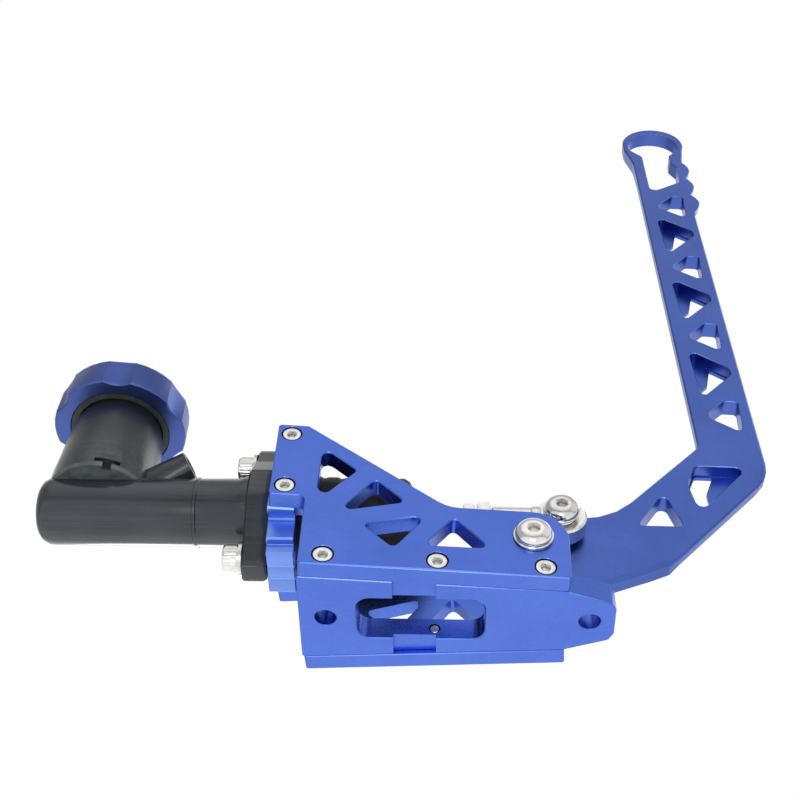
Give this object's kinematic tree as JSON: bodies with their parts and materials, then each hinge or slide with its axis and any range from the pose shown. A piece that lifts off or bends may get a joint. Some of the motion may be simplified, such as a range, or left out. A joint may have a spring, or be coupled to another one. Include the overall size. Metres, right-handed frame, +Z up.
{
  "type": "hydraulic parking brake lever",
  "caption": "Upright drilled metal lever pivoted in a wedge-shaped frame that pushes the piston of a master cylinder with a fluid reservoir.",
  "frame": {"origin": "on the base plate's mounting face (underside), on the centre line, straight below the lever's pivot axis", "axes": "+Z up out of the mounting face, +X from the master cylinder towards the lever, +Y across the frame towards the side the lever blade is on; the lever's pivot axis is parallel to Y"},
  "size_m": [0.3572, 0.0714, 0.4575],
  "materials": {
    "blue_anodised": "satin blue anodising over fine machining marks",
    "lever_anodised": "satin blue anodising, slightly darker",
    "black_casting": "smooth black coating over a casting",
    "polished_steel": "polished stainless steel",
    "zinc_steel": "bright zinc plate",
    "spring_steel": "oiled spring steel",
    "bronze": "machined bronze",
    "black_rubber": "matt black rubber",
    "grey_gasket": "matt grey-green seal rubber"
  },
  "bodies": {
    "frame": {"base_plate": "blue_anodised", "side_plate_near": "blue_anodised", "side_plate_far": "blue_anodised", "cylinder_bracket": "blue_anodised", "frame_screw_near_1": "polished_steel", "frame_screw_near_2": "polished_steel", "frame_screw_near_3": "polished_steel", "frame_screw_near_4": "polished_steel", "frame_screw_near_5": "polished_steel", "frame_screw_far_1": "polished_steel", "frame_screw_far_2": "polished_steel", "frame_screw_far_3": "polished_steel", "frame_screw_far_4": "polished_steel", "frame_screw_far_5": "polished_steel", "master_cylinder_body": "black_casting", "flange_bolt_upper": "zinc_steel", "flange_bolt_lower": "zinc_steel", "flange_washer_upper": "zinc_steel", "flange_washer_lower": "zinc_steel", "stop_washer": "polished_steel", "snap_ring": "spring_steel", "return_spring": "spring_steel", "pushrod_boot": "black_rubber", "pivot_bolt": "polished_steel", "pivot_washer_near": "polished_steel", "pivot_washer_far": "polished_steel", "pivot_nut": "polished_steel", "pivot_spacer_long": "zinc_steel", "pivot_spacer_short": "zinc_steel"},
    "lever": {"lever": "lever_anodised", "pivot_bush": "bronze", "rod_end_ball": "polished_steel", "rod_end_cone_spacer": "polished_steel", "rod_end_washer": "polished_steel", "rod_end_bolt": "polished_steel", "rod_end_spacer": "polished_steel", "rod_end_nut": "polished_steel"},
    "rod": {"rod_end_housing": "zinc_steel", "pushrod": "polished_steel", "rod_lock_nut": "polished_steel", "rod_jam_nut": "polished_steel"},
    "piston": {"piston": "bronze", "primary_cup": "black_rubber", "secondary_cup": "black_rubber"},
    "cap_lift": {"cap_gasket": "grey_gasket", "cap_diaphragm": "black_rubber"},
    "cap": {"reservoir_cap": "blue_anodised"}
  },
  "joints": [
    {"name": "lever_pull", "type": "hinge", "parent": "frame", "child": "lever", "pos_m": [0, 0, 0.0235], "axis": [0, -1, 0], "range_deg": [0, 36], "deforming": ["pushrod_boot", "return_spring"]},
    {"name": "rod_swing", "type": "hinge", "parent": "lever", "child": "rod", "pos_m": [0.0156, 0, 0.062], "axis": [0, 1, 0], "range_deg": [0, 35.5]},
    {"name": "piston_slide", "type": "slide", "parent": "frame", "child": "piston", "axis": [-1, 0, 0], "range_m": [0, 0.0256], "deforming": ["return_spring"]},
    {"name": "cap_lift", "type": "slide", "parent": "frame", "child": "cap_lift", "axis": [0, 0, 1], "range_m": [0, 0.006]},
    {"name": "cap_turn", "type": "hinge", "parent": "cap_lift", "child": "cap", "pos_m": [-0.2031, 0, 0.1228], "axis": [0, 0, 1], "range_deg": [0, 720]}
  ],
  "couplings": [
    {"joint": "rod_swing", "follows": "lever_pull", "ratio": 0.976},
    {"joint": "piston_slide", "follows": "lever_pull", "m_per_rad": 0.0406},
    {"joint": "cap_lift", "follows": "cap_turn", "m_per_rad": 0.00047746}
  ]
}
